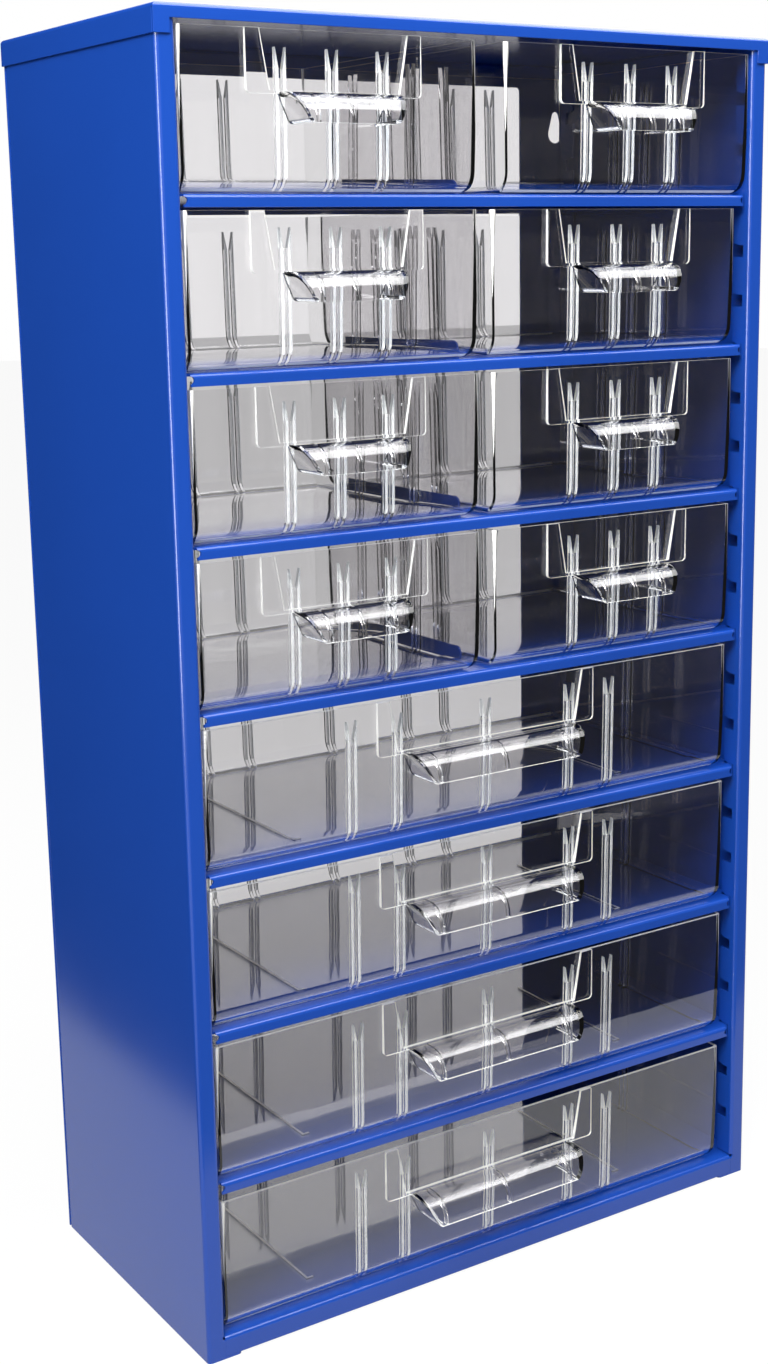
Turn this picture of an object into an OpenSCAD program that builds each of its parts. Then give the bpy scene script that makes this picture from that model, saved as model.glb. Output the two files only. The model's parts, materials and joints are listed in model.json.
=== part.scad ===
// Parts bin cabinet: a folded sheet steel carcass with twelve clear plastic drawers.
// Millimetres, +Z up, front towards -Y, origin at the bottom centre of the bounding box.

/* [Drawers] */
// Width of a small drawer at its rim
small_w = 137; // [120:1:160]
// Depth of every drawer at its rim
drawer_d = 140; // [120:1:180]
// Height of every drawer
drawer_h = 61; // [58:1:75]
// Thickness of the drawer walls and floor
wall = 1.5; // [1.2:0.1:2]
// How far each wall leans inwards between its rim and its floor
draft = 1.1; // [0.8:0.1:1.4]
// Radius of the upright drawer corners
corner_r = 2.5; // [1.5:0.5:4]
// Radius between the floor and the front and rear walls
heel_r = 9; // [5:0.5:12]
// Radius between the floor and the side walls
edge_r = 3.5; // [2.5:0.5:5]

/* [Divider slots] */
// Distance between the middles of the two ribs of a divider slot
rib_pair = 3.3; // [3:0.1:5]
// Thickness of a rib
rib_t = 1.5; // [1:0.1:2]
// How far a rib stands out of its wall
rib_d = 2; // [1.5:0.1:2.5]
// Height of the rib's point above the bottom of the drawer
rib_h = 54.5; // [45:0.5:56]
// Length of the rib's pointed end
rib_tip = 8; // [4:0.5:12]
// Spacing of the divider slots in the front and rear walls of a small drawer
small_pitch = 23.5; // [18:0.5:28]
// Spacing of the divider slots in the side walls of a small drawer
side_pitch = 23; // [18:0.5:28]
// Place of the inner divider slots of a wide drawer, from its middle
wide_slot_in = 46.5; // [40:0.5:50]
// Place of the outer divider slots of a wide drawer, from its middle
wide_slot_out = 69.5; // [60:0.5:75]

/* [Floor beads of the wide drawers] */
// Distance of each bead from the middle of the drawer
bead_x = 89.5; // [80:0.5:100]
// Width of a bead
bead_w = 1.2; // [0.8:0.1:2]
// Height of a bead above the floor
bead_h = 0.6; // [0.4:0.1:1]
// Where a bead starts, behind the front wall
bead_start = 17.5; // [15:0.5:25]
// Length of a bead
bead_l = 82; // [60:1:90]
// Length of the small hook at the bead's front end
bead_hook = 3; // [2:0.5:5]

/* [Label frames] */
// Half the width of a small drawer's label frame
small_frame = 40; // [37:0.5:46]
// Half the width of a wide drawer's label frame
wide_frame = 58; // [54:0.5:64]
// Width of the frame's side strip at the rim
frame_side = 6; // [4:0.5:8]
// How much wider the side strip is at its foot
frame_flare = 4.2; // [2:0.2:5]
// Height of the frame's foot above the bottom of the drawer
frame_z = 37; // [34:0.5:42]
// Thickness of the bar at the frame's foot
frame_bar = 1.3; // [1:0.1:2]
// How far the frame stands out of the front wall
frame_t = 1.3; // [0.8:0.1:2.2]
// Radius of the frame's lower corners
frame_r = 2; // [1:0.5:3]

/* [Handles] */
// Half the width of a small drawer's handle at its top
small_grip = 26; // [24:0.5:32]
// Half the width of a wide drawer's handle at its top
wide_grip = 45; // [40:0.5:52]
// How much narrower each end of a handle is at its lip
grip_taper = 5.5; // [4:0.5:9]
// How far a handle reaches out of the front wall
grip_reach = 16; // [13:0.5:18]
// Height of the handle's top above the bottom of the drawer
grip_top = 37.5; // [35:0.5:42]
// Height of the handle's lip above the bottom of the drawer
grip_low = 25.7; // [22:0.1:28]
// Thickness of the handle's shell
grip_t = 1.5; // [1.2:0.1:2]
// Radius of the round between the handle's top and its lip
grip_r = 10.5; // [6:0.5:11]
// Radius of the lower corners of the handle, seen from the front
grip_corner = 3; // [2.5:0.5:4]
// Height of the stiffening ribs inside the handle
grip_rib = 2; // [1:0.5:2.5]
// Thickness of the stiffening ribs inside the handle
grip_rib_t = 1; // [0.8:0.1:1.5]
// Distance of the outer stiffening ribs from the ends of the lip
grip_rib_in = 4.5; // [3:0.5:7]

/* [Cabinet] */
// Thickness of the steel sheet
sheet = 1; // [0.8:0.1:1.2]
// Width of the uprights beside the drawers
upright_w = 8.4; // [7:0.2:10]
// Depth of the folds behind the inner edges of the front and rear uprights
fold_d = 10.3; // [9:0.1:13]
// Outer radius of the folds
bend_r = 1.8; // [1.4:0.1:2.4]
// Width of the rear uprights
rear_flange = 4.5; // [4:0.1:5]
// Width of the folded edge that the cabinet stands on
foot_w = 16.3; // [12:0.1:20]
// Height of the base above the surface the cabinet stands on
base_top = 10; // [8:0.5:14]
// Extra height of the bottom row over the other rows
bottom_extra = 2; // [1:0.5:4]

/* [Lid] */
// Thickness of the lid's sheet
lid_t = 0.8; // [0.6:0.1:1]
// Height of the lid's folded sides and rear
lid_side = 11; // [9:0.5:14]
// Height of the lid's front edge
lid_front = 5.5; // [4.5:0.5:7]
// Width of the tabs at the front corners of the lid
lid_tab = 6; // [4:0.5:7]
// Gap between the lid's side and its front tab
lid_gap = 0.7; // [0.4:0.1:1]

/* [Shelves] */
// Height of a shelf's front lip and its other folded edges
lip_h = 5; // [4:0.5:6]
// How far the shelf lip sits behind the uprights
lip_recess = 2.2; // [1.5:0.1:3]
// Gap between the end of a lip and the upright
lip_end_gap = 2.2; // [1.5:0.1:3]
// Radius of the half round notch in each end of a lip
lip_notch_r = 1.5; // [1:0.1:1.8]
// Number of hook slots per row
slots_per_row = 3; // [2:1:4]
// Height of a hook slot
slot_h = 5.4; // [4.8:0.1:6]
// Length of a hook slot, from its blind end to the open edge of the fold
slot_l = 6.3; // [5:0.1:7]
// How much higher a hook slot is at its mouth
slot_flare = 1.5; // [0.5:0.1:2.5]
// How far a hook reaches past the fold that it rests in
hook_out = 0.8; // [0.4:0.1:1.2]
// Thickness of the guide that parts two small drawers
guide_t = 1; // [0.8:0.1:1.2]
// Height of the guide above its shelf
guide_h = 6.3; // [5:0.1:8]
// Distance of the guide from the front of the cabinet
guide_front = 26.5; // [20:0.5:32]
// Length of the guide
guide_l = 92; // [60:1:98]
// Radius of the guide's front corner
guide_r = 4; // [2:0.5:5]

/* [Back panel] */
// Width of the steel beside the window
window_side = 31.7; // [24:0.1:40]
// Height of the steel above the window
window_top = 9.5; // [8:0.5:14]
// Height of the steel below the window
window_foot = 13.5; // [11:0.5:18]
// Radius of the window's corners
window_r = 2; // [1:0.5:6]
// Radius of the round part of a keyhole
key_r = 4.5; // [4:0.1:5]
// Radius of the narrow end of a keyhole
key_neck_r = 2.2; // [1.5:0.1:2.6]
// Distance between the centres of a keyhole's two ends
key_drop = 8.6; // [7:0.1:11]
// Distance between a keyhole and the folded edge beside it
key_edge = 0.2; // [0.1:0.1:4]
// Distance of the round part of a keyhole below the top of the cabinet
key_down = 33.5; // [28:0.5:45]

/* [Clearances] */
// Gap between a drawer and the shelf it stands on
run_gap = 0.3; // [0.3:0.1:0.6]
// Gap between the rim of a drawer and the lip above it
top_gap = 1.2; // [0.8:0.1:2]
// Gap between the rim of a top drawer and the front edge of the lid
lid_clear = 1.7; // [1:0.1:3]
// Gap between a drawer that stands to one side and the upright there
side_gap = 0.6; // [0.4:0.1:1]
// Gap between a small drawer and the centre guide beside it
guide_gap = 0.3; // [0.3:0.1:0.6]
// Difference in width between a wide drawer and two small ones
pair_gap = 6; // [5:0.5:9]
// Total side play of a wide drawer between the uprights
side_play = 9.2; // [8:0.2:12]
// Gap between the drawer fronts and the front of the uprights
front_recess = 1; // [0.5:0.1:2]
// Gap between the drawers and the back panel
rear_gap = 4; // [3:0.5:8]
// Gap around a shelf's hooks in their slots
hook_gap = 0.4; // [0.3:0.1:0.5]
// Gap between a shelf and the uprights
shelf_gap = 0.3; // [0.2:0.1:0.5]
// Gap between a shelf and the back panel
shelf_back_gap = 3; // [1:0.5:6]
// Gap between an upright's fold and the base below it
fold_gap = 0.6; // [0.4:0.1:1]
// Radius of the relief notch below an upright's fold
fold_notch_r = 1.4; // [0.8:0.1:1.8]

/* [Hidden] */
$fn = 48;
rows = 8;
small_rows = 4;
shelves = rows - 1;
arc_steps = 6;
cut = 1;
paint = "royalblue";
clear = [0.86, 0.9, 0.94, 0.45];

// The drawers set the size of the cabinet
wide_w = 2 * small_w + pair_gap;
body_w = wide_w + side_play + 2 * upright_w;
body_d = front_recess + drawer_d + rear_gap + sheet;
row_pitch = run_gap + drawer_h + top_gap + lip_h;
slot_pitch = row_pitch / slots_per_row;
top_shelf = base_top + bottom_extra + shelves * row_pitch;
body_h = top_shelf + run_gap + drawer_h + lid_clear + lid_front;
wall_top = body_h - bend_r;

grip_out = grip_reach - front_recess;
y_front = (grip_out - body_d - lid_t) / 2;
y_back = y_front + body_d;
y_rear = y_back - sheet;
x_out = body_w / 2;
x_in = x_out - upright_w;
key_x = x_out - rear_flange - key_edge - key_r;

function shelf_top(i) = top_shelf - (i - 1) * row_pitch;
function row_floor(row) = row <= shelves ? shelf_top(row) : base_top;

// How far a drawer wall stands inside its rim at height z
function lean(z) = draft * (1 - z / drawer_h);

function arc(c, r, a0, a1) =
    [for (i = [0 : arc_steps]) let (a = a0 + (a1 - a0) * i / arc_steps) c + r * [cos(a), sin(a)]];

// Outline of a rectangle from lo to hi with round corners
function round_rect(lo, hi, r) = concat(
    arc(lo + [r, r], r, 180, 270),
    arc([hi[0] - r, lo[1] + r], r, 270, 360),
    arc(hi - [r, r], r, 0, 90),
    arc([lo[0] + r, hi[1] - r], r, 90, 180)
);

// Outline of a leaning drawer section between the rim places a0 and a1
function section(a0, a1, z0, z1, r) = concat(
    [[a1 - lean(z1), z1], [a0 + lean(z1), z1]],
    arc([a0 + lean(z0) + r, z0 + r], r, 180, 270),
    arc([a1 - lean(z0) - r, z0 + r], r, 270, 360)
);

// Outline of a folded edge: a level strip of length l that turns down by h at its front
function fold(l, h, t, r) = concat(
    [[l, 0], [l, -t]],
    arc([r, -r], r - t, 90, 180),
    [[t, -h], [0, -h]],
    arc([r, -r], r, 180, 90)
);

module along_x(length) {
    rotate([90, 0, 90])
        linear_extrude(length, center = true)
            children();
}

module along_y(length) {
    translate([0, length, 0])
        rotate([90, 0, 0])
            linear_extrude(length)
                children();
}

module both_sides() {
    children();
    mirror([1, 0, 0])
        children();
}

// ---------- Drawers ----------

// Drawer-shaped block, set in from the outer faces and standing on height z0
module drawer_block(w, inset, z0, z1) {
    half = w / 2 - inset;
    edge = max(edge_r - inset, wall);
    heel = max(heel_r - inset, wall);
    plan = max(corner_r - inset, wall / 2);
    intersection() {
        linear_extrude(z1)
            polygon(round_rect([-half, inset], [half, drawer_d - inset], plan));
        along_y(drawer_d)
            polygon(section(-half, half, z0, z1, edge));
        along_x(w)
            polygon(section(inset, drawer_d - inset, z0, z1, heel));
    }
}

// Two ribs that hold a divider between them, with their points leaning apart
module rib_pair_outline() {
    near = (rib_pair - rib_t) / 2;
    far = (rib_pair + rib_t) / 2;
    for (side = [-1, 1])
        polygon([
            [side * near, 0],
            [side * far, 0],
            [side * far, rib_h],
            [side * near, rib_h - rib_tip]
        ]);
}

module drawer_ribs(w, front_slots, side_slots) {
    for (x = front_slots)
        translate([x, 0, 0])
            along_y(drawer_d)
                rib_pair_outline();
    for (y = side_slots)
        along_x(w)
            translate([y, 0])
                rib_pair_outline();
}

module label_frame(half) {
    foot = half - frame_side - frame_flare;
    along_y(frame_t + wall / 2)
        difference() {
            polygon(concat(
                [[half, drawer_h], [-half, drawer_h]],
                arc([-half + frame_r, frame_z + frame_r], frame_r, 180, 270),
                arc([half - frame_r, frame_z + frame_r], frame_r, 270, 360)
            ));
            polygon([
                [half - frame_side, drawer_h + cut],
                [-half + frame_side, drawer_h + cut],
                [-foot, frame_z + frame_bar],
                [foot, frame_z + frame_bar]
            ]);
        }
}

// Side view of the handle, filled, with its skin set in by t
module grip_profile(t) {
    r = min(grip_r, grip_top - grip_low - grip_t);
    polygon(concat(
        [[wall / 2, grip_low - t], [t - grip_reach, grip_low - t]],
        arc([r - grip_reach, grip_top - r], r - t, 180, 90),
        [[wall / 2, grip_top - t]]
    ));
}

// Front view of the handle: its ends slant inwards to round lower corners, and an inset outline,
// which is the hollow of the handle, runs on below the lip
module grip_front(half, t) {
    slant = atan(grip_taper / (grip_top - grip_low));
    top = half - t / cos(slant);
    corner = half - grip_taper + grip_corner * (tan(slant) - 1 / cos(slant));
    corner_z = grip_low + grip_corner;
    below = grip_low - t;
    polygon(concat(
        [[-top, grip_top], [top, grip_top]],
        arc([corner, corner_z], grip_corner - t, -slant, -90),
        t > 0 ? [[corner, below], [-corner, below]] : [],
        arc([-corner, corner_z], grip_corner - t, -90, slant - 180)
    ));
}

module grip_body(half, t) {
    intersection() {
        along_x(2 * half)
            grip_profile(t);
        translate([0, -grip_reach, 0])
            along_y(grip_reach + wall / 2)
                grip_front(half, t);
    }
}

module grip(half) {
    lip_rib = half - grip_taper - grip_rib_in;
    difference() {
        grip_body(half, 0);
        difference() {
            grip_body(half, grip_t);
            for (x = [-lip_rib, 0, lip_rib])
                translate([x, 0, 0])
                    along_x(grip_rib_t)
                        difference() {
                            grip_profile(0);
                            grip_profile(grip_t + grip_rib);
                        }
        }
    }
}

module floor_bead(side) {
    translate([side * bead_x - bead_w / 2, bead_start, wall / 2])
        cube([bead_w, bead_l, wall / 2 + bead_h]);
    translate([side * (bead_x - bead_hook / 2) - bead_hook / 2, bead_start, wall / 2])
        cube([bead_hook, bead_w, wall / 2 + bead_h]);
}

// Drawer with its front at y = 0 and its middle at x = 0
module drawer(w, front_slots, side_slots, frame, handle) {
    difference() {
        drawer_block(w, 0, 0, drawer_h);
        difference() {
            drawer_block(w, wall, wall, drawer_h + cut);
            difference() {
                drawer_ribs(w, front_slots, side_slots);
                drawer_block(w, wall + rib_d, wall, drawer_h + cut);
            }
        }
    }
    translate([0, -frame_t, 0])
        label_frame(frame);
    grip(handle);
}

module small_drawer(row, x) {
    color(clear)
        translate([x, y_front + front_recess, row_floor(row) + run_gap])
            drawer(
                small_w,
                [-small_pitch, 0, small_pitch],
                [drawer_d / 2 - side_pitch, drawer_d / 2, drawer_d / 2 + side_pitch],
                small_frame,
                small_grip
            );
}

module wide_drawer(row) {
    slots = [-wide_slot_out, -wide_slot_in, 0, wide_slot_in, wide_slot_out];
    color(clear)
        translate([side_gap - x_in + wide_w / 2, y_front + front_recess, row_floor(row) + run_gap]) {
            drawer(wide_w, slots, [drawer_d / 2], wide_frame, wide_grip);
            for (side = [-1, 1])
                floor_bead(side);
        }
}

// A left drawer stands against the left upright
left_x = side_gap - x_in + small_w / 2;

// The top right drawer stands against the right upright, the others against the guide
function right_x(row) = row == 1 ? -left_x
    : guide_t / 2 + guide_gap - lean(guide_h) + small_w / 2;

// ---------- Cabinet ----------

// Side view of a hook slot, with its blind end at the origin and its mouth along +x
module hook_slot() {
    polygon([
        [0, -slot_h],
        [slot_l + cut, -slot_h],
        [slot_l + cut, slot_flare],
        [slot_l / 2, 0],
        [0, 0]
    ]);
}

module hook_slots() {
    lowest = ceil((base_top + slot_h - shelf_top(shelves)) / slot_pitch);
    highest = floor((body_h - lid_side - slot_flare - shelf_top(shelves)) / slot_pitch);
    for (k = [lowest : highest])
        translate([0, 0, shelf_top(shelves) + k * slot_pitch]) {
            translate([x_in + sheet / 2, y_front + fold_d - slot_l, 0])
                along_x(2 * sheet)
                    hook_slot();
            translate([x_out - rear_flange + sheet / 2, y_rear - fold_d + slot_l, 0])
                along_x(2 * sheet)
                    mirror([1, 0])
                        hook_slot();
        }
}

// Plan of a side: the wall, and an upright folded back on itself at each end
module side_plan() {
    difference() {
        polygon(round_rect([x_in, y_front], [x_out, y_rear], bend_r));
        polygon(round_rect(
            [x_in + sheet, y_front + sheet],
            [x_out - sheet, y_rear - sheet],
            bend_r - sheet
        ));
        translate([x_in - cut, y_front + fold_d])
            square([upright_w + cut - rear_flange, body_d]);
    }
    translate([x_out - rear_flange, y_rear - fold_d])
        square([sheet, fold_d]);
}

// Right side of the cabinet, folded from one sheet
module side_panel() {
    difference() {
        linear_extrude(wall_top)
            side_plan();
        // The fold behind the front upright stops above the base
        translate([x_in - cut, y_front - cut, -cut])
            cube([cut + bend_r, fold_d + 2 * cut, base_top + fold_gap + cut]);
        // The fold of the rear upright too
        translate([x_out - rear_flange - cut, y_rear - fold_d - cut, -cut])
            cube([2 * sheet + cut, fold_d + cut - sheet, base_top + fold_gap + cut]);
        hook_slots();
    }
    // Beside the base the upright is flat, with a relief notch at the end of the fold
    difference() {
        translate([x_in, y_front, 0])
            cube([2 * bend_r, sheet, base_top + fold_gap]);
        translate([x_in, y_front - cut, base_top])
            along_y(sheet + 2 * cut)
                circle(fold_notch_r);
    }
    linear_extrude(sheet)
        polygon(round_rect([x_out - foot_w, y_front], [x_out, y_rear], bend_r));
}

module right_side() {
    color(paint)
        side_panel();
}

module left_side() {
    color(paint)
        mirror([1, 0, 0])
            side_panel();
}

// Keyhole outline with its round part at the origin and its neck above
module keyhole() {
    a = acos((key_r - key_neck_r) / key_drop);
    circle(key_r);
    translate([0, key_drop])
        circle(key_neck_r);
    polygon([
        [-key_r * sin(a), key_r * cos(a)],
        [key_r * sin(a), key_r * cos(a)],
        [key_neck_r * sin(a), key_drop + key_neck_r * cos(a)],
        [-key_neck_r * sin(a), key_drop + key_neck_r * cos(a)]
    ]);
}

module back_panel() {
    color(paint)
        translate([0, y_rear, 0])
            along_y(sheet)
                difference() {
                    translate([-x_out, 0])
                        square([body_w, wall_top]);
                    polygon(round_rect(
                        [window_side - x_out, window_foot],
                        [x_out - window_side, wall_top - window_top],
                        window_r
                    ));
                    for (side = [-1, 1])
                        translate([side * key_x, body_h - key_down])
                            keyhole();
                }
}

// Block with round upper edges, set in from the lid's outer faces by t
module lid_block(t) {
    half = x_out + lid_t - t;
    reach = body_d / 2 + lid_t - t;
    r = max(bend_r - t, lid_t / 2);
    middle = (y_front + y_back) / 2;
    intersection() {
        translate([0, middle - reach, 0])
            along_y(2 * reach)
                polygon(round_rect([-half, body_h - 2 * lid_side], [half, body_h - t], r));
        along_x(2 * half)
            polygon(round_rect(
                [middle - reach, body_h - 2 * lid_side],
                [middle + reach, body_h - t],
                r
            ));
    }
}

module lid() {
    low = body_h - 3 * lid_side;
    color(paint)
        difference() {
            lid_block(0);
            lid_block(lid_t);
            // Everything below the folded edges
            translate([-x_out - lid_side, y_front - lid_side, low])
                cube([body_w + 2 * lid_side, body_d + 2 * lid_side, 2 * lid_side]);
            // The front edge is shallower between its two tabs
            translate([lid_tab - x_out, y_front - cut - lid_t, low])
                cube([body_w - 2 * lid_tab, lid_t + 2 * cut, 3 * lid_side - lid_front]);
            // Gaps between the front tabs and the folded sides
            both_sides()
                translate([x_out, y_front, low])
                    cube([lid_side, lid_gap, 3 * lid_side - bend_r]);
        }
}

module base() {
    half = x_out - sheet;
    front = y_front + bend_r;
    rear = y_rear - bend_r;
    color(paint) {
        // Front rail, flush with the uprights, and the strip that joins it to the floor
        translate([0, y_front, base_top])
            along_x(2 * x_in)
                polygon(fold(2 * bend_r, base_top - sheet, sheet, bend_r));
        difference() {
            translate([-half, front, sheet])
                cube([2 * half, rear - front, base_top - sheet]);
            translate([sheet - half, y_front, 0])
                cube([2 * (half - sheet), rear - sheet - y_front, base_top - sheet]);
        }
    }
}

module centre_guide() {
    along_x(guide_t)
        polygon(concat(
            [[0, -sheet], [guide_l, -sheet], [guide_l, guide_h]],
            arc([guide_r, guide_h - guide_r], guide_r, 90, 180)
        ));
}

// Plan of a shelf behind its lip, set in by t: it widens behind the front uprights
module shelf_plan(t) {
    step = y_front + fold_d + shelf_gap + t;
    front = y_front + lip_recess + bend_r;
    rear = y_rear - shelf_back_gap - t;
    both_sides() {
        translate([0, front - t])
            square([x_in - shelf_gap - t, step + bend_r - front]);
        translate([0, step])
            square([x_out - rear_flange - shelf_gap - t, rear - step]);
    }
}

// Shelf with its top at z = 0
module shelf_plate(guided) {
    lip_half = x_in - lip_end_gap;
    front = y_front + lip_recess;
    difference() {
        union() {
            translate([0, front, 0])
                along_x(2 * lip_half)
                    polygon(fold(2 * bend_r, lip_h, sheet, bend_r));
            difference() {
                translate([0, 0, -lip_h])
                    linear_extrude(lip_h)
                        shelf_plan(0);
                translate([0, 0, -lip_h - cut])
                    linear_extrude(lip_h + cut - sheet)
                        shelf_plan(sheet);
            }
        }
        both_sides()
            translate([lip_half, front - cut, -lip_h / 2])
                along_y(bend_r + cut)
                    circle(lip_notch_r);
        if (guided)
            translate([-guide_t / 2 - guide_h, y_front + guide_front, -2 * sheet])
                cube([guide_h, guide_l, 3 * sheet]);
    }
}

// Hook that rests in a slot, from x = 0 outwards
module hook() {
    translate([-sheet / 2, hook_gap, -slot_h])
        cube([1.5 * sheet + shelf_gap + hook_out, slot_l - 2 * hook_gap, slot_h - hook_gap]);
}

module shelf_hooks() {
    both_sides() {
        translate([x_in - shelf_gap, y_front + fold_d - slot_l, 0])
            hook();
        translate([x_out - rear_flange - shelf_gap, y_rear - fold_d, 0])
            hook();
    }
}

module shelf(i) {
    guided = i <= small_rows;
    color(paint)
        translate([0, 0, shelf_top(i)]) {
            shelf_plate(guided);
            shelf_hooks();
            if (guided)
                translate([0, y_front + guide_front, 0])
                    centre_guide();
        }
}

left_side();
right_side();
back_panel();
lid();
base();
for (i = [1 : shelves])
    shelf(i);
for (row = [1 : small_rows]) {
    small_drawer(row, left_x);
    small_drawer(row, right_x(row));
}
for (row = [small_rows + 1 : rows])
    wide_drawer(row);
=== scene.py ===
"""Parts bin cabinet: the visible pieces, their finishes and the studio around them."""

import json
import math

import bmesh
import bpy
from mathutils import Matrix, Vector

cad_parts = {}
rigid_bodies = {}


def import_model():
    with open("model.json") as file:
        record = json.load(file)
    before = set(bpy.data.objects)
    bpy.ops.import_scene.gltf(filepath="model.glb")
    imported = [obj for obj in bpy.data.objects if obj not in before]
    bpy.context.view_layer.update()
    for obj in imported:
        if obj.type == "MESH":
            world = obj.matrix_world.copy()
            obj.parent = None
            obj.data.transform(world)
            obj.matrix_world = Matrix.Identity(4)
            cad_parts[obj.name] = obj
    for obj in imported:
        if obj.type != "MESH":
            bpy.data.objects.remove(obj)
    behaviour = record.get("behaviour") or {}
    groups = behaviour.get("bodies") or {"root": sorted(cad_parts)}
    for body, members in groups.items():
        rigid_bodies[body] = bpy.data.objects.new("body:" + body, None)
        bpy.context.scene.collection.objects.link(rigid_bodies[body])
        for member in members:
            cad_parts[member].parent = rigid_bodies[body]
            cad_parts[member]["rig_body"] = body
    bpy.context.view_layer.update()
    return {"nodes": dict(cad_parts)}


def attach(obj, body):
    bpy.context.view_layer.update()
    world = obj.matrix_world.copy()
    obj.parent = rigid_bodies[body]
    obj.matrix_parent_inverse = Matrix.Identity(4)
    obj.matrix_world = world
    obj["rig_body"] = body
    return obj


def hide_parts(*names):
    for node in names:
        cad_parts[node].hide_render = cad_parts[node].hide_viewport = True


bl_info = {
    "name": "Parts Bin Cabinet",
    "version": (1, 0, 0),
    "blender": (4, 5, 0),
    "location": "View3D > Sidebar > Cabinet",
    "description": "Builds a steel cabinet with clear drawers",
    "category": "Object",
}

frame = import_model()

MM = 0.001
SHELL = ("left_side", "right_side", "back_panel", "lid", "base")
SHELVES = tuple(sorted(n for n in frame["nodes"] if n.startswith("shelf_")))
SMALL_DRAWERS = tuple(sorted(n for n in frame["nodes"] if n.startswith("small_drawer_")))
WIDE_DRAWERS = tuple(sorted(n for n in frame["nodes"] if n.startswith("wide_drawer_")))


# ---------- Settings ----------


class CabinetFinishes(bpy.types.PropertyGroup):
    steel: bpy.props.StringProperty(
        name="Steel", description="Colour of the powder coat, as sRGB hex", default="15419a"
    )
    plastic: bpy.props.StringProperty(
        name="Plastic", description="Tint of the clear drawers, as sRGB hex", default="faf9fa"
    )
    shade: bpy.props.StringProperty(
        name="Shade",
        description="Light that each surface of the drawers lets through, as sRGB hex",
        default="e4e7ea",
    )
    haze: bpy.props.StringProperty(
        name="Haze", description="Colour of the plastic's matt faces, as sRGB hex", default="f6f5f1"
    )
    rib_haze: bpy.props.FloatProperty(
        name="Rib haze", description="Share of light that the matt faces scatter", default=0.8, min=0, max=1
    )
    flow: bpy.props.FloatProperty(
        name="Flow",
        description="Distance between the waves that moulding leaves in the walls of the drawers",
        default=30 * MM,
        min=5 * MM,
        unit="LENGTH",
    )
    scuff: bpy.props.FloatProperty(
        name="Scuffs",
        description="Distance between the worn patches on the drawers",
        default=14 * MM,
        min=2 * MM,
        unit="LENGTH",
    )
    coat_grain: bpy.props.FloatProperty(
        name="Coat grain",
        description="Distance between the waves of the powder coat",
        default=2.2 * MM,
        min=0.5 * MM,
        unit="LENGTH",
    )


class CabinetShapes(bpy.types.PropertyGroup):
    merge: bpy.props.FloatProperty(
        name="Merge distance",
        description="Points of a piece closer than this become one",
        default=0.06 * MM,
        unit="LENGTH",
    )
    smooth_angle: bpy.props.FloatProperty(
        name="Smooth angle",
        description="Faces that meet at less than this are shaded as one round",
        default=math.radians(35),
        subtype="ANGLE",
        unit="ROTATION",
    )
    sheet_edge: bpy.props.FloatProperty(
        name="Sheet edge",
        description="Width of the round that the coat gives the edges of the steel",
        default=0.2 * MM,
        unit="LENGTH",
    )


class DrawerSizes(bpy.types.PropertyGroup):
    depth: bpy.props.FloatProperty(
        name="Depth", description="Depth of a drawer without its handle", default=140 * MM, unit="LENGTH"
    )
    height: bpy.props.FloatProperty(
        name="Height", description="Height of a drawer", default=61 * MM, unit="LENGTH"
    )
    wall: bpy.props.FloatProperty(
        name="Wall", description="Thickness of a drawer's walls", default=1.5 * MM, unit="LENGTH"
    )
    corner: bpy.props.FloatProperty(
        name="Corner", description="Radius of the upright corners", default=2.5 * MM, unit="LENGTH"
    )
    draft: bpy.props.FloatProperty(
        name="Draft", description="How far a wall leans in at its foot", default=1.1 * MM, unit="LENGTH"
    )
    rib: bpy.props.FloatProperty(
        name="Rib", description="How far a rib stands out of its wall", default=2 * MM, unit="LENGTH"
    )
    lip_low: bpy.props.FloatProperty(
        name="Lip foot", description="Height of a handle's lower edge", default=25.7 * MM, unit="LENGTH"
    )
    bead: bpy.props.FloatProperty(
        name="Bead", description="Height of a wide drawer's floor beads", default=0.6 * MM, unit="LENGTH"
    )
    frame: bpy.props.FloatProperty(
        name="Frame", description="How far the label frame stands out", default=1.3 * MM, unit="LENGTH"
    )
    frame_low: bpy.props.FloatProperty(
        name="Frame foot", description="Height of the label frame's foot", default=37 * MM, unit="LENGTH"
    )


class CabinetStudio(bpy.types.PropertyGroup):
    camera_place: bpy.props.FloatVectorProperty(
        name="Camera place",
        description="Where the camera stands",
        default=(-0.48008, -0.72666, 0.46269),
        subtype="TRANSLATION",
        unit="LENGTH",
    )
    camera_turn: bpy.props.FloatProperty(
        name="Camera turn",
        description="How far the camera looks to the right of straight back",
        default=math.radians(33.135),
        subtype="ANGLE",
        unit="ROTATION",
    )
    camera_tilt: bpy.props.FloatProperty(
        name="Camera tilt",
        description="How far the camera looks down",
        default=math.radians(11.816),
        subtype="ANGLE",
        unit="ROTATION",
    )
    camera_roll: bpy.props.FloatProperty(
        name="Camera roll",
        description="How far the camera leans to its side",
        default=math.radians(-0.944),
        subtype="ANGLE",
        unit="ROTATION",
    )
    lens: bpy.props.FloatProperty(
        name="Lens",
        description="Focal length on a sensor 36 mm high",
        default=50.41,
        subtype="DISTANCE_CAMERA",
    )
    backdrop: bpy.props.StringProperty(
        name="Backdrop", description="Colour of the floor and the background, as sRGB hex", default="ffffff"
    )
    sky: bpy.props.FloatProperty(
        name="Sky", description="Strength of the light from all round", default=0.2, min=0
    )
    key: bpy.props.FloatProperty(
        name="Key lamp", description="Power of the main lamp", default=33.0, min=0, unit="POWER"
    )


# ---------- Colours and nodes ----------


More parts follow.
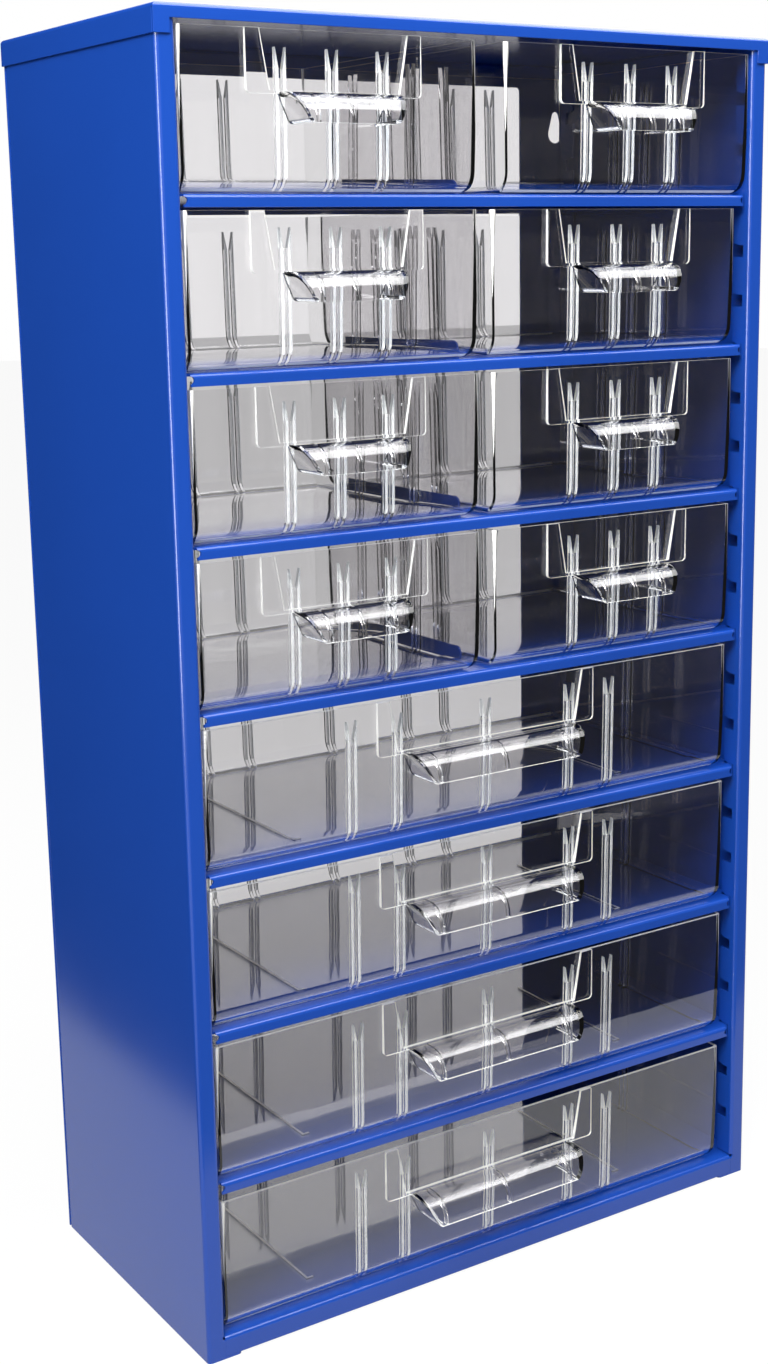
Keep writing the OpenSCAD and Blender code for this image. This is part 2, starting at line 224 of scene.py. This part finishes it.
def colour(hex_code):
    """Linear colour of an sRGB hex code."""
    parts = [int(hex_code[i : i + 2], 16) / 255 for i in (0, 2, 4)]
    linear = [c / 12.92 if c <= 0.04045 else ((c + 0.055) / 1.055) ** 2.4 for c in parts]
    return (*linear, 1.0)


def add_node(tree, kind, inputs=None, **settings):
    """A node of the tree, with its settings and with each input set or linked."""
    node = tree.nodes.new(kind)
    for name, value in settings.items():
        setattr(node, name, value)
    for name, value in (inputs or {}).items():
        if isinstance(value, bpy.types.NodeSocket):
            tree.links.new(value, node.inputs[name])
        else:
            node.inputs[name].default_value = value
    return node


def new_material(name):
    material = bpy.data.materials.new(name)
    material.use_nodes = True
    material.node_tree.nodes.clear()
    return material, material.node_tree


# ---------- Finishes ----------


# Powder coat: glossy, with clouds a hand's width apart in its shade and in its roughness, and
# waves that are drawn a little coarser than the real ones, so that they show
COAT_CLOUD = 90 * MM
COAT_SHADES = (0.94, 1.05)
COAT_ROUGHNESS = (0.12, 0.2)
COAT_WAVE_HEIGHT = 0.02 * MM
COAT_WAVE_STRENGTH = 0.12
COAT_IOR = 1.5

# Crystal polystyrene: its refraction, the depth of the moulding's waves, how far wear roughens it
# and the part of the wear's pattern that does, and the gloss and the share of light let through
# by its haze
STYRENE_IOR = 1.59
WAVE_HEIGHT = 0.05 * MM
WEAR = 0.08
WEAR_RANGE = (0.5, 0.8)
HAZE_ROUGHNESS = 0.5
HAZE_THROUGH = 0.3
MATT_ROUGHNESS = 0.25


def powder_coated_steel(finish):
    # Mild steel sheet with a baked powder coat: a saturated, glossy blue with the faint
    # waviness of a sprayed coat, which makes reflections on it slightly soft.
    material, tree = new_material("powder_coated_steel")
    place = add_node(tree, "ShaderNodeTexCoord").outputs["Object"]
    waves = add_node(
        tree,
        "ShaderNodeTexNoise",
        {"Vector": place, "Scale": 1 / finish.coat_grain, "Detail": 2.0, "Roughness": 0.5},
    )
    cloud = add_node(tree, "ShaderNodeTexNoise", {"Vector": place, "Scale": 1 / COAT_CLOUD, "Detail": 3.0})
    base = colour(finish.steel)
    mix = add_node(
        tree,
        "ShaderNodeMix",
        {
            0: cloud.outputs["Fac"],
            6: (*[c * COAT_SHADES[0] for c in base[:3]], 1),
            7: (*[min(1, c * COAT_SHADES[1]) for c in base[:3]], 1),
        },
        data_type="RGBA",
    )
    rough = add_node(
        tree,
        "ShaderNodeMapRange",
        {"Value": cloud.outputs["Fac"], "To Min": COAT_ROUGHNESS[0], "To Max": COAT_ROUGHNESS[1]},
    )
    bump = add_node(
        tree,
        "ShaderNodeBump",
        {"Height": waves.outputs["Fac"], "Strength": COAT_WAVE_STRENGTH, "Distance": COAT_WAVE_HEIGHT},
    )
    shader = add_node(
        tree,
        "ShaderNodeBsdfPrincipled",
        {
            "Base Color": mix.outputs[2],
            "Roughness": rough.outputs["Result"],
            "Normal": bump.outputs["Normal"],
            "IOR": COAT_IOR,
        },
    )
    add_node(tree, "ShaderNodeOutputMaterial", {"Surface": shader.outputs["BSDF"]})
    return material


def polystyrene(name, finish, haze, roughness):
    """Crystal polystyrene: glass-like, with light that passes to what is inside, and some haze."""
    material, tree = new_material(name)
    place = add_node(tree, "ShaderNodeTexCoord").outputs["Object"]
    waves = add_node(
        tree, "ShaderNodeTexNoise", {"Vector": place, "Scale": 1 / finish.flow, "Detail": 1.0}
    )
    wear = add_node(
        tree,
        "ShaderNodeTexNoise",
        {"Vector": place, "Scale": 1 / finish.scuff, "Detail": 5.0, "Roughness": 0.65},
    )
    rough = add_node(
        tree,
        "ShaderNodeMapRange",
        {
            "Value": wear.outputs["Fac"],
            "From Min": WEAR_RANGE[0],
            "From Max": WEAR_RANGE[1],
            "To Min": roughness,
            "To Max": roughness + WEAR,
        },
    )
    wavy = add_node(
        tree,
        "ShaderNodeBump",
        {"Height": waves.outputs["Fac"], "Strength": 1.0, "Distance": WAVE_HEIGHT},
    )
    glass = add_node(
        tree,
        "ShaderNodeBsdfPrincipled",
        {
            "Base Color": colour(finish.plastic),
            "Roughness": rough.outputs["Result"],
            "Normal": wavy.outputs["Normal"],
            "IOR": STYRENE_IOR,
            "Transmission Weight": 1.0,
        },
    )
    lit = add_node(
        tree, "ShaderNodeBsdfGlossy", {"Color": colour(finish.haze), "Roughness": HAZE_ROUGHNESS}
    )
    through = add_node(tree, "ShaderNodeBsdfTranslucent", {"Color": colour(finish.haze)})
    milky = add_node(
        tree,
        "ShaderNodeMixShader",
        {0: HAZE_THROUGH, 1: lit.outputs["BSDF"], 2: through.outputs["BSDF"]},
    )
    body = add_node(
        tree, "ShaderNodeMixShader", {0: haze, 1: glass.outputs["BSDF"], 2: milky.outputs["Shader"]}
    )
    passing = add_node(tree, "ShaderNodeBsdfTransparent", {"Color": colour(finish.shade)})
    ray = add_node(tree, "ShaderNodeLightPath")
    inner = add_node(
        tree,
        "ShaderNodeMath",
        {0: ray.outputs["Is Shadow Ray"], 1: ray.outputs["Is Diffuse Ray"]},
        operation="MAXIMUM",
    )
    mixed = add_node(
        tree,
        "ShaderNodeMixShader",
        {0: inner.outputs["Value"], 1: body.outputs["Shader"], 2: passing.outputs["BSDF"]},
    )
    add_node(tree, "ShaderNodeOutputMaterial", {"Surface": mixed.outputs["Shader"]})
    return material


def clear_polystyrene(finish):
    # Injection moulded crystal polystyrene from a polished mould: colourless, with a higher
    # refraction than acrylic, so that its bends and corners catch bright and dark lines.
    return polystyrene("clear_polystyrene", finish, haze=0.0, roughness=0.0)


def matt_polystyrene(finish):
    # The same plastic where the mould was spark eroded, in the narrow slots for ribs and frames:
    # a fine matt face that scatters light and looks whitish beside the clear walls.
    return polystyrene("matt_polystyrene", finish, haze=finish.rib_haze, roughness=MATT_ROUGHNESS)


def finished(make):
    """The material that make gives, made once."""
    return bpy.data.materials.get(make.__name__) or make(bpy.context.scene.cabinet_finishes)


# ---------- Pieces ----------


# How near to a height a face counts as there, and the same for the low beads and the thin frame
NEAR = 0.4 * MM
BEAD_NEAR = 0.1 * MM
FRONT_NEAR = 0.05 * MM
# Parts of a face's normal: along an axis, well off an axis, and upright
ALONG = 0.9
SLANTED = 0.2
UPRIGHT = 0.3
# Faces that meet at less than this are merged into one
FLAT_ANGLE = math.radians(0.6)


def is_matt(face, low, high):
    """Whether a face is of a front or rear rib, a frame's outline, a lip, the rim, a corner or a bead."""
    sizes = bpy.context.scene.drawer_sizes
    middle = face.calc_center_median()
    height = middle.z - low.z
    if height > sizes.height - NEAR:
        return True
    front = high.y - sizes.depth
    if middle.y < front - FRONT_NEAR:
        if abs(height - sizes.lip_low) < NEAR:
            return face.normal.z < -ALONG
        outline = abs(face.normal.y) < UPRIGHT and middle.y > front - sizes.frame
        return outline and height > sizes.frame_low - NEAR
    if face.normal.z > ALONG:
        return abs(height - sizes.wall - sizes.bead) < BEAD_NEAR
    corner = sizes.corner + sizes.draft
    beside_corner = min(middle.x - low.x, high.x - middle.x) < corner
    if beside_corner and min(middle.y - front, high.y - middle.y) < corner:
        slanted = min(abs(face.normal.x), abs(face.normal.y)) > SLANTED
        return slanted and abs(face.normal.z) < UPRIGHT
    inset = min(middle.y - front, high.y - middle.y) - sizes.draft * (1 - height / sizes.height)
    in_rib = sizes.wall + NEAR < inset < sizes.wall + sizes.rib + NEAR
    beside = sizes.wall + sizes.rib + sizes.draft
    between_walls = low.x + beside < middle.x < high.x - beside
    return in_rib and between_walls and abs(face.normal.z) < UPRIGHT


def fine_piece(node, material, edge=0.0, matt=None):
    """A copy of a node's mesh with whole faces, round bends and softened edges, that stands for it."""
    shapes = bpy.context.scene.cabinet_shapes
    source = frame["nodes"][node]
    bm = bmesh.new()
    bm.from_mesh(source.data)
    bmesh.ops.remove_doubles(bm, verts=bm.verts, dist=shapes.merge)
    bmesh.ops.dissolve_limit(bm, angle_limit=FLAT_ANGLE, verts=bm.verts, edges=bm.edges)
    if edge:
        sharp = [e for e in bm.edges if e.calc_face_angle(0) > shapes.smooth_angle]
        bmesh.ops.bevel(
            bm,
            geom=sharp,
            offset=edge,
            affect="EDGES",
            segments=2,
            profile=0.5,
            material=-1,
        )
    low, high = (Vector(map(pick, zip(*(v.co for v in bm.verts)))) for pick in (min, max))
    for face in bm.faces:
        face.smooth = True
        face.material_index = 1 if matt and is_matt(face, low, high) else 0
    for e in bm.edges:
        e.smooth = e.calc_face_angle(0) < shapes.smooth_angle
    mesh = bpy.data.meshes.new(node + "_fine")
    bm.to_mesh(mesh)
    bm.free()
    mesh.materials.append(material)
    if matt:
        mesh.materials.append(matt)
    piece = bpy.data.objects.new(node + "_fine", mesh)
    bpy.context.scene.collection.objects.link(piece)
    flat = piece.modifiers.new("flat_walls", "WEIGHTED_NORMAL")
    flat.mode = "FACE_AREA"
    flat.weight = 100
    flat.keep_sharp = True
    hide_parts(node)
    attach(piece, source["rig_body"])
    return piece


class CABINET_OT_shell(bpy.types.Operator):
    """Makes the folded sheets of the cabinet: sides, back panel, lid and base"""

    bl_idname = "cabinet.shell"
    bl_label = "Cabinet shell"

    def execute(self, context):
        steel = finished(powder_coated_steel)
        for node in SHELL:
            edge = 0 if node.endswith("_side") else context.scene.cabinet_shapes.sheet_edge
            fine_piece(node, steel, edge)
        return {"FINISHED"}


class CABINET_OT_shelves(bpy.types.Operator):
    """Makes the seven shelves with their lips, hooks and centre guides"""

    bl_idname = "cabinet.shelves"
    bl_label = "Shelves"

    def execute(self, context):
        steel = finished(powder_coated_steel)
        for node in SHELVES:
            fine_piece(node, steel)
        return {"FINISHED"}


class CABINET_OT_small_drawers(bpy.types.Operator):
    """Makes the eight small clear drawers"""

    bl_idname = "cabinet.small_drawers"
    bl_label = "Small drawers"

    def execute(self, context):
        for node in SMALL_DRAWERS:
            fine_piece(node, finished(clear_polystyrene), matt=finished(matt_polystyrene))
        return {"FINISHED"}


class CABINET_OT_wide_drawers(bpy.types.Operator):
    """Makes the four wide clear drawers"""

    bl_idname = "cabinet.wide_drawers"
    bl_label = "Wide drawers"

    def execute(self, context):
        for node in WIDE_DRAWERS:
            fine_piece(node, finished(clear_polystyrene), matt=finished(matt_polystyrene))
        return {"FINISHED"}


# ---------- Studio ----------


# Lamps: name, middle, size and share of the main lamp's power. Both face the cabinet's middle
LAMPS = (
    ("key_lamp", (-0.7, -0.65, 1.25), 0.7, 1.0),
    ("top_lamp", (0.35, -0.35, 1.3), 0.6, 0.4),
)
LAMPS_FACE = (0.0, 0.0, 0.3)

# Cards that only reflections and refractions see: painted highlights and painted dark reflections that
# light nothing.
# Columns: name, glow, middle, the place that it faces, width and height
PAINTED_REFLECTION_CARDS = (
    ("front_dark_reflection_card", 0.12, (0.68, -1.0, 0.75), (0.0, -0.07, 0.75), 1.8, 1.48),
    ("front_floor_dark_reflection_card", 0.1, (0.45, -0.68, 0.002), (0.45, -0.68, 1.0), 1.6, 0.9),
    ("side_dark_reflection_card", 0.02, (-0.62, 0.9, 0.75), (-0.15, 0.0, 0.75), 1.6, 1.48),
    ("side_floor_dark_reflection_card", 0.015, (-0.66, 0.6, 0.002), (-0.66, 0.6, 1.0), 0.8, 1.2),
    ("top_highlight_card", 6.0, (0.4, -0.12, 1.05), (0.4, -0.12, 0.0), 0.8, 0.8),
    ("strip_highlight_card", 16.0, (-1.25, -0.55, 0.6), (0.0, 0.0, 0.6), 0.5, 1.2),
)


# How much of the plain backdrop the floor shows to camera, glossy and transmitted rays: the rest
# is its real light and shadow
FLOOR_SHARES = (0.88, 0.52, 0.094)

# The backdrop's strength on the floor, which makes up for the grey of its lit part
FLOOR_GLOW = 1.06
FLOOR_GREY = 0.45
FLOOR_RADIUS = 8.0
NEAR_CLIP = 0.01

# The image, and where the lens axis meets it, in pixels from its upper left corner
IMAGE_WIDTH = 768
IMAGE_HEIGHT = 1364
AXIS_X = 402.78
AXIS_Y = 648.73
SENSOR_HEIGHT = 36.0


def seen_directly(tree, shares=(1.0, 1.0, 1.0)):
    """The share of the backdrop that camera, glossy and transmitted rays see, and 0 for other rays."""
    ray = add_node(tree, "ShaderNodeLightPath")
    seen = 0.0
    for kind, share in zip(("Is Camera Ray", "Is Glossy Ray", "Is Transmission Ray"), shares):
        part = add_node(tree, "ShaderNodeMath", {0: ray.outputs[kind], 1: share}, operation="MULTIPLY")
        seen = add_node(
            tree, "ShaderNodeMath", {0: seen, 1: part.outputs["Value"]}, operation="MAXIMUM"
        ).outputs["Value"]
    return seen


def studio_floor(backdrop):
    # Matt white sweep that takes the shadow of the cabinet and still looks white
    material, tree = new_material("matt_white_floor")
    matt = add_node(tree, "ShaderNodeBsdfDiffuse", {"Color": (FLOOR_GREY, FLOOR_GREY, FLOOR_GREY, 1)})
    glow = add_node(tree, "ShaderNodeEmission", {"Color": backdrop, "Strength": FLOOR_GLOW})
    mixed = add_node(
        tree,
        "ShaderNodeMixShader",
        {0: seen_directly(tree, FLOOR_SHARES), 1: matt.outputs["BSDF"], 2: glow.outputs["Emission"]},
    )
    add_node(tree, "ShaderNodeOutputMaterial", {"Surface": mixed.outputs["Shader"]})
    return material


def studio_world(backdrop, sky):
    world = bpy.data.worlds.new("studio")
    world.use_nodes = True
    tree = world.node_tree
    tree.nodes.clear()
    soft = add_node(tree, "ShaderNodeBackground", {"Color": (1, 1, 1, 1), "Strength": sky})
    white = add_node(tree, "ShaderNodeBackground", {"Color": backdrop, "Strength": 1.0})
    mixed = add_node(
        tree,
        "ShaderNodeMixShader",
        {0: seen_directly(tree), 1: soft.outputs["Background"], 2: white.outputs["Background"]},
    )
    add_node(tree, "ShaderNodeOutputWorld", {"Surface": mixed.outputs["Shader"]})
    return world


# Emission on a sheet that is no lamp: it paints a highlight or a dark reflection wherever reflections and
# refractions meet it
def glowing_card(name, glow):
    material, tree = new_material(name)
    light = add_node(tree, "ShaderNodeEmission", {"Color": (1, 1, 1, 1), "Strength": glow})
    add_node(tree, "ShaderNodeOutputMaterial", {"Surface": light.outputs["Emission"]})
    return material


def round_floor(bm):
    bmesh.ops.create_circle(bm, cap_ends=True, segments=96, radius=FLOOR_RADIUS)


def card_sheet(place, facing, width, height):
    """A maker of a sheet with its middle at one place that faces another."""

    def make(bm):
        turn = (Vector(facing) - Vector(place)).to_track_quat("Z", "Y").to_matrix().to_4x4()
        bmesh.ops.create_grid(bm, x_segments=1, y_segments=1, size=0.5)
        bmesh.ops.scale(bm, vec=(width, height, 1), verts=bm.verts)
        bmesh.ops.transform(bm, matrix=Matrix.Translation(place) @ turn, verts=bm.verts)

    return make


def stage_piece(name, material, make):
    """An object of the studio, with its mesh filled in by make."""
    bm = bmesh.new()
    make(bm)
    mesh = bpy.data.meshes.new(name)
    bm.to_mesh(mesh)
    bm.free()
    mesh.materials.append(material)
    piece = bpy.data.objects.new(name, mesh)
    bpy.context.scene.collection.objects.link(piece)
    return piece


class CABINET_OT_studio(bpy.types.Operator):
    """Makes the floor, the background, the lamps, the cards that paint highlights and dark reflections, and
    the camera
    """

    bl_idname = "cabinet.studio"
    bl_label = "Studio"

    def execute(self, context):
        studio = context.scene.cabinet_studio
        scene = context.scene
        link = scene.collection.objects.link

        stage_piece("studio_floor", studio_floor(colour(studio.backdrop)), round_floor)
        scene.world = studio_world(colour(studio.backdrop), studio.sky)

        for name, place, size, share in LAMPS:
            lamp = bpy.data.lights.new(name, "AREA")
            lamp.shape = "SQUARE"
            lamp.size = size
            lamp.energy = studio.key * share
            box = bpy.data.objects.new(name, lamp)
            box.location = place
            box.rotation_euler = (Vector(place) - Vector(LAMPS_FACE)).to_track_quat("Z", "Y").to_euler()
            link(box)

        # Painted highlights and painted dark reflections: the cards are hidden from the camera and cast no
        # light or shadow
        for name, glow, place, facing, width, height in PAINTED_REFLECTION_CARDS:
            card = stage_piece(name, glowing_card(name, glow), card_sheet(place, facing, width, height))
            card.visible_camera = False
            card.visible_diffuse = False
            card.visible_shadow = False

        data = bpy.data.cameras.new("camera")
        data.sensor_fit = "VERTICAL"
        data.sensor_height = SENSOR_HEIGHT
        data.lens = studio.lens
        data.shift_x = (IMAGE_WIDTH / 2 - AXIS_X) / IMAGE_HEIGHT
        data.shift_y = (AXIS_Y - IMAGE_HEIGHT / 2) / IMAGE_HEIGHT
        data.clip_start = NEAR_CLIP
        camera = bpy.data.objects.new("camera", data)
        camera.matrix_world = (
            Matrix.Translation(studio.camera_place)
            @ Matrix.Rotation(-studio.camera_turn, 4, "Z")
            @ Matrix.Rotation(math.pi / 2 - studio.camera_tilt, 4, "X")
            @ Matrix.Rotation(studio.camera_roll, 4, "Z")
        )
        link(camera)
        scene.camera = camera
        scene.view_settings.view_transform = "Standard"
        return {"FINISHED"}


class CABINET_PT_parts(bpy.types.Panel):
    """Lists the pieces of the cabinet in the sidebar"""

    bl_idname = "CABINET_PT_parts"
    bl_label = "Parts bin cabinet"
    bl_space_type = "VIEW_3D"
    bl_region_type = "UI"
    bl_category = "Cabinet"

    def draw(self, context):
        layout = self.layout
        for name, group in GROUPS.items():
            column = layout.column()
            for value in group.__annotations__:
                column.prop(getattr(context.scene, name), value)
        for operator in OPERATORS:
            layout.operator(operator.bl_idname)


OPERATORS = (
    CABINET_OT_shell,
    CABINET_OT_shelves,
    CABINET_OT_small_drawers,
    CABINET_OT_wide_drawers,
    CABINET_OT_studio,
)
GROUPS = {
    "cabinet_finishes": CabinetFinishes,
    "cabinet_shapes": CabinetShapes,
    "drawer_sizes": DrawerSizes,
    "cabinet_studio": CabinetStudio,
}


def register():
    for name, group in GROUPS.items():
        bpy.utils.register_class(group)
        setattr(bpy.types.Scene, name, bpy.props.PointerProperty(type=group))
    for cls in (*OPERATORS, CABINET_PT_parts):
        bpy.utils.register_class(cls)


def unregister():
    for cls in (CABINET_PT_parts, *reversed(OPERATORS)):
        bpy.utils.unregister_class(cls)
    for name, group in GROUPS.items():
        delattr(bpy.types.Scene, name)
        bpy.utils.unregister_class(group)


def main():
    register()
    bpy.ops.cabinet.shell()
    bpy.ops.cabinet.shelves()
    bpy.ops.cabinet.small_drawers()
    bpy.ops.cabinet.wide_drawers()
    bpy.ops.cabinet.studio()


if __name__ == "__main__":
    main()
